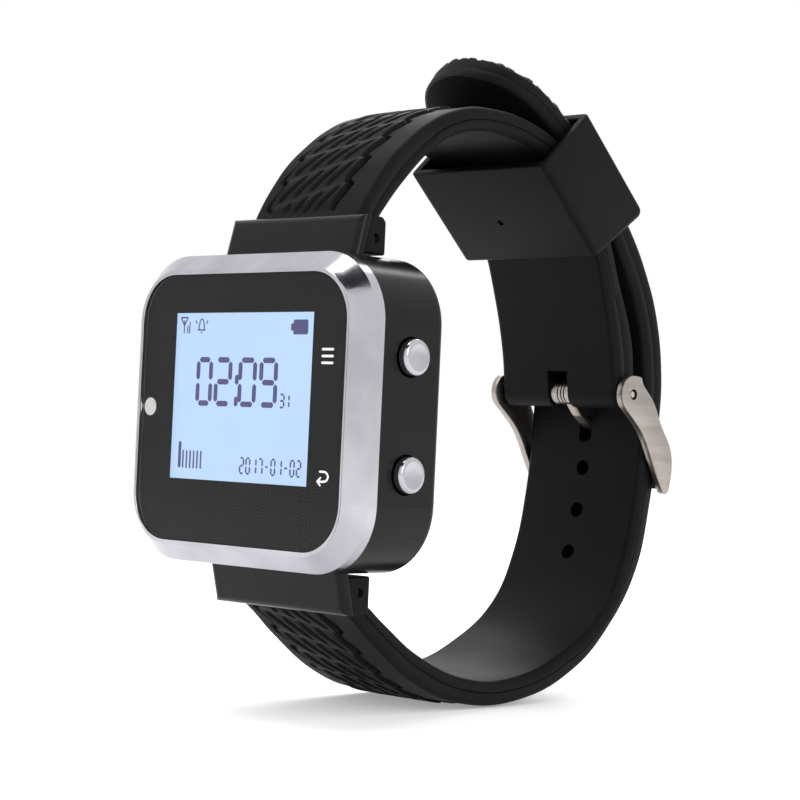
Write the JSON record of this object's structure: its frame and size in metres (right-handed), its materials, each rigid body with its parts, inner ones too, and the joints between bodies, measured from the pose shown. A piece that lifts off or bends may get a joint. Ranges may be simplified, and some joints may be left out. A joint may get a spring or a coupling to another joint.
{
  "type": "wrist pager",
  "caption": "Wrist-worn call receiver with a backlit display, side push buttons and a moulded rubber strap with buckle and keeper.",
  "frame": {"origin": "centre of the rear cover's outer face, which rests on the wrist", "axes": "+X towards the side with the buttons, +Y out of the rear cover into the strap loop, +Z towards the buckle strap's lug"},
  "size_m": [0.0456, 0.079, 0.091],
  "materials": {
    "polished_steel": "polished, chamfered",
    "window_glass": "clear glass printed black round the display",
    "display": "backlit pale blue display",
    "backlight": "clear light guide",
    "black_gloss": "gloss black moulded",
    "black_matte": "fine matte moulded",
    "strap_rubber": "matte moulded silicone rubber",
    "seal_rubber": "smooth rubber",
    "foam": "thin adhesive foam",
    "brushed_steel": "brushed stainless steel",
    "steel": "plain stainless steel",
    "chrome": "polished chrome",
    "white_plastic": "translucent white",
    "board_green": "solder mask over glass fibre",
    "chip_black": "moulded epoxy",
    "tin": "tinned plate",
    "battery_foil": "aluminium laminate pouch",
    "brass": "gold flashed",
    "ribbon": "polyimide"
  },
  "bodies": {
    "pager": {"bezel": "polished_steel", "display_window": "window_glass", "window_gasket": "foam", "lamp_window": "white_plastic", "display_cell": "display", "backlight": "backlight", "display_carrier": "black_matte", "display_ribbon": "ribbon", "case_body": "black_gloss", "rear_cover": "black_matte", "rear_seal": "seal_rubber", "cover_screws": "steel", "main_board": "board_green", "board_screws": "steel", "receiver_chip": "chip_black", "controller_chip": "chip_black", "crystal": "tin", "memory_chip": "chip_black", "status_lamp": "white_plastic", "aerial_strip": "brass", "charging_socket": "tin", "battery": "battery_foil", "battery_pad": "foam", "battery_tabs": "tin", "vibration_motor": "tin", "motor_boot": "seal_rubber", "buzzer": "chip_black", "mode_switch": "black_matte", "return_switch": "black_matte", "button_seals": "seal_rubber", "upper_lug_pin": "steel", "lower_lug_pin": "steel", "upper_strap": "strap_rubber", "lower_strap": "strap_rubber", "buckle_bar": "steel"},
    "mode_button": {"mode_button": "chrome", "mode_button_clip": "steel", "mode_switch_plunger": "white_plastic"},
    "return_button": {"return_button": "chrome", "return_button_clip": "steel", "return_switch_plunger": "white_plastic"},
    "keeper": {"keeper": "strap_rubber"},
    "buckle": {"buckle_frame": "brushed_steel"},
    "tongue": {"buckle_tongue": "brushed_steel"},
    "motor_weight": {"vibration_weight": "steel", "motor_shaft": "steel"}
  },
  "joints": [
    {"name": "mode_button_press", "type": "slide", "parent": "pager", "child": "mode_button", "axis": [-1, 0, 0], "range_m": [0, 0.0005], "stiffness_N_per_m": 2500},
    {"name": "return_button_press", "type": "slide", "parent": "pager", "child": "return_button", "axis": [-1, 0, 0], "range_m": [0, 0.0005], "stiffness_N_per_m": 2500},
    {"name": "keeper_slide", "type": "hinge", "parent": "pager", "child": "keeper", "pos_m": [0, 0.01995, 0.0131], "axis": [1, 0, 0], "range_deg": [-3, 6]},
    {"name": "buckle_pivot", "type": "hinge", "parent": "pager", "child": "buckle", "pos_m": [0, 0.05225, 0.0053], "axis": [1, 0, 0], "range_deg": [0, 1.5]},
    {"name": "tongue_pivot", "type": "hinge", "parent": "buckle", "child": "tongue", "pos_m": [0, 0.05225, 0.0053], "axis": [1, 0, 0], "range_deg": [0, 2]},
    {"name": "vibration_spin", "type": "hinge", "parent": "pager", "child": "motor_weight", "pos_m": [0, -0.0056, -0.0145], "axis": [1, 0, 0], "continuous": true}
  ]
}
